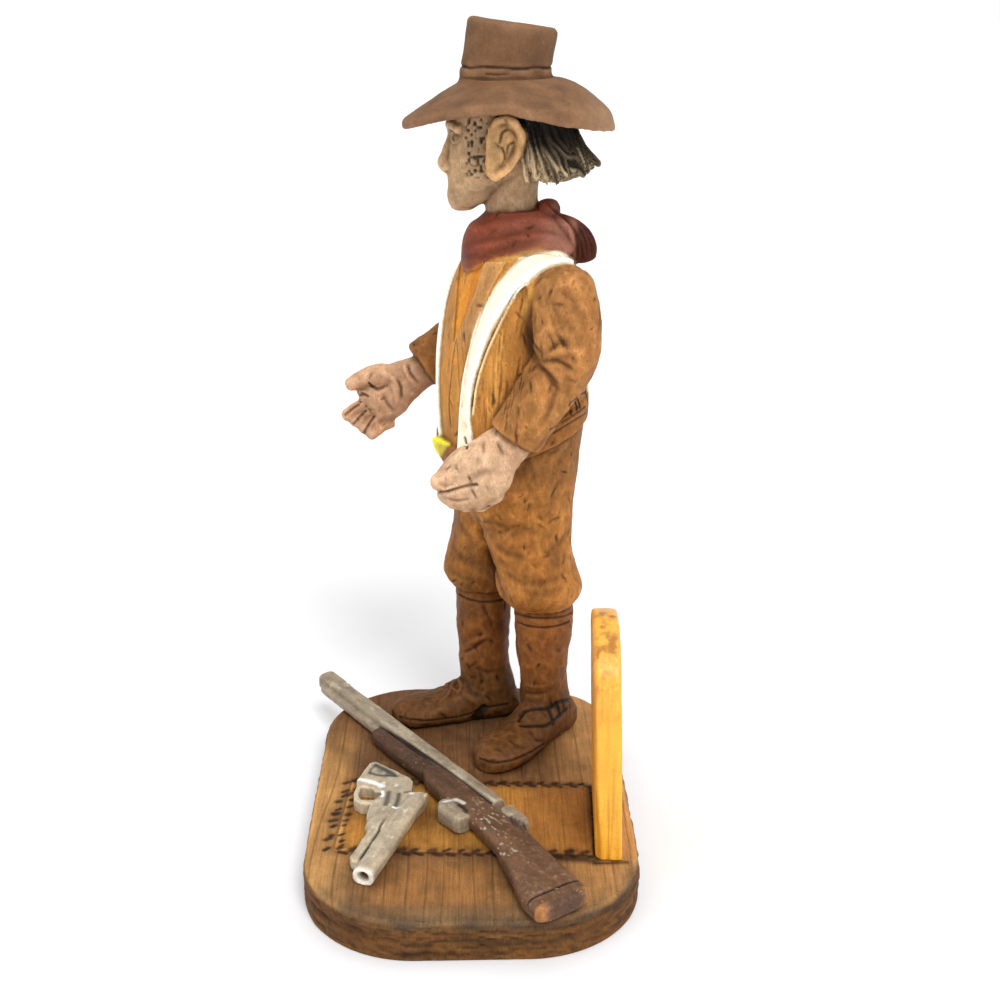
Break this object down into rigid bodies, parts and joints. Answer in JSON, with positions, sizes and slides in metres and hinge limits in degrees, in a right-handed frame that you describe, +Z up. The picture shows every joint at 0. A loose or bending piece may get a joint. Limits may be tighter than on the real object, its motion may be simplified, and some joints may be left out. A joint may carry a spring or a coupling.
{
  "type": "carved wooden figure",
  "caption": "Carved and painted wooden figure of a frontier man in a broad hat, on a rounded plinth with an arched headboard, a rifle and a revolver beside him.",
  "frame": {"origin": "centre of the plinth's flat underside", "axes": "+Z is up. +Y is the plinth's long way, away from the side that is normally seen. The figure looks towards -X."},
  "size_m": [0.1475, 0.2158, 0.3465],
  "materials": {
    "base": "stained and worn wood with burnt marks",
    "figure": "carved wood with thin paint washes",
    "headboard": "pale wood with a yellow varnish",
    "rifle": "carved wood painted brown and grey",
    "revolver": "carved wood painted silver"
  },
  "bodies": {
    "root": {"base": "base", "figure": "figure", "headboard": "headboard", "rifle": "rifle", "revolver": "revolver"}
  },
  "joints": []
}
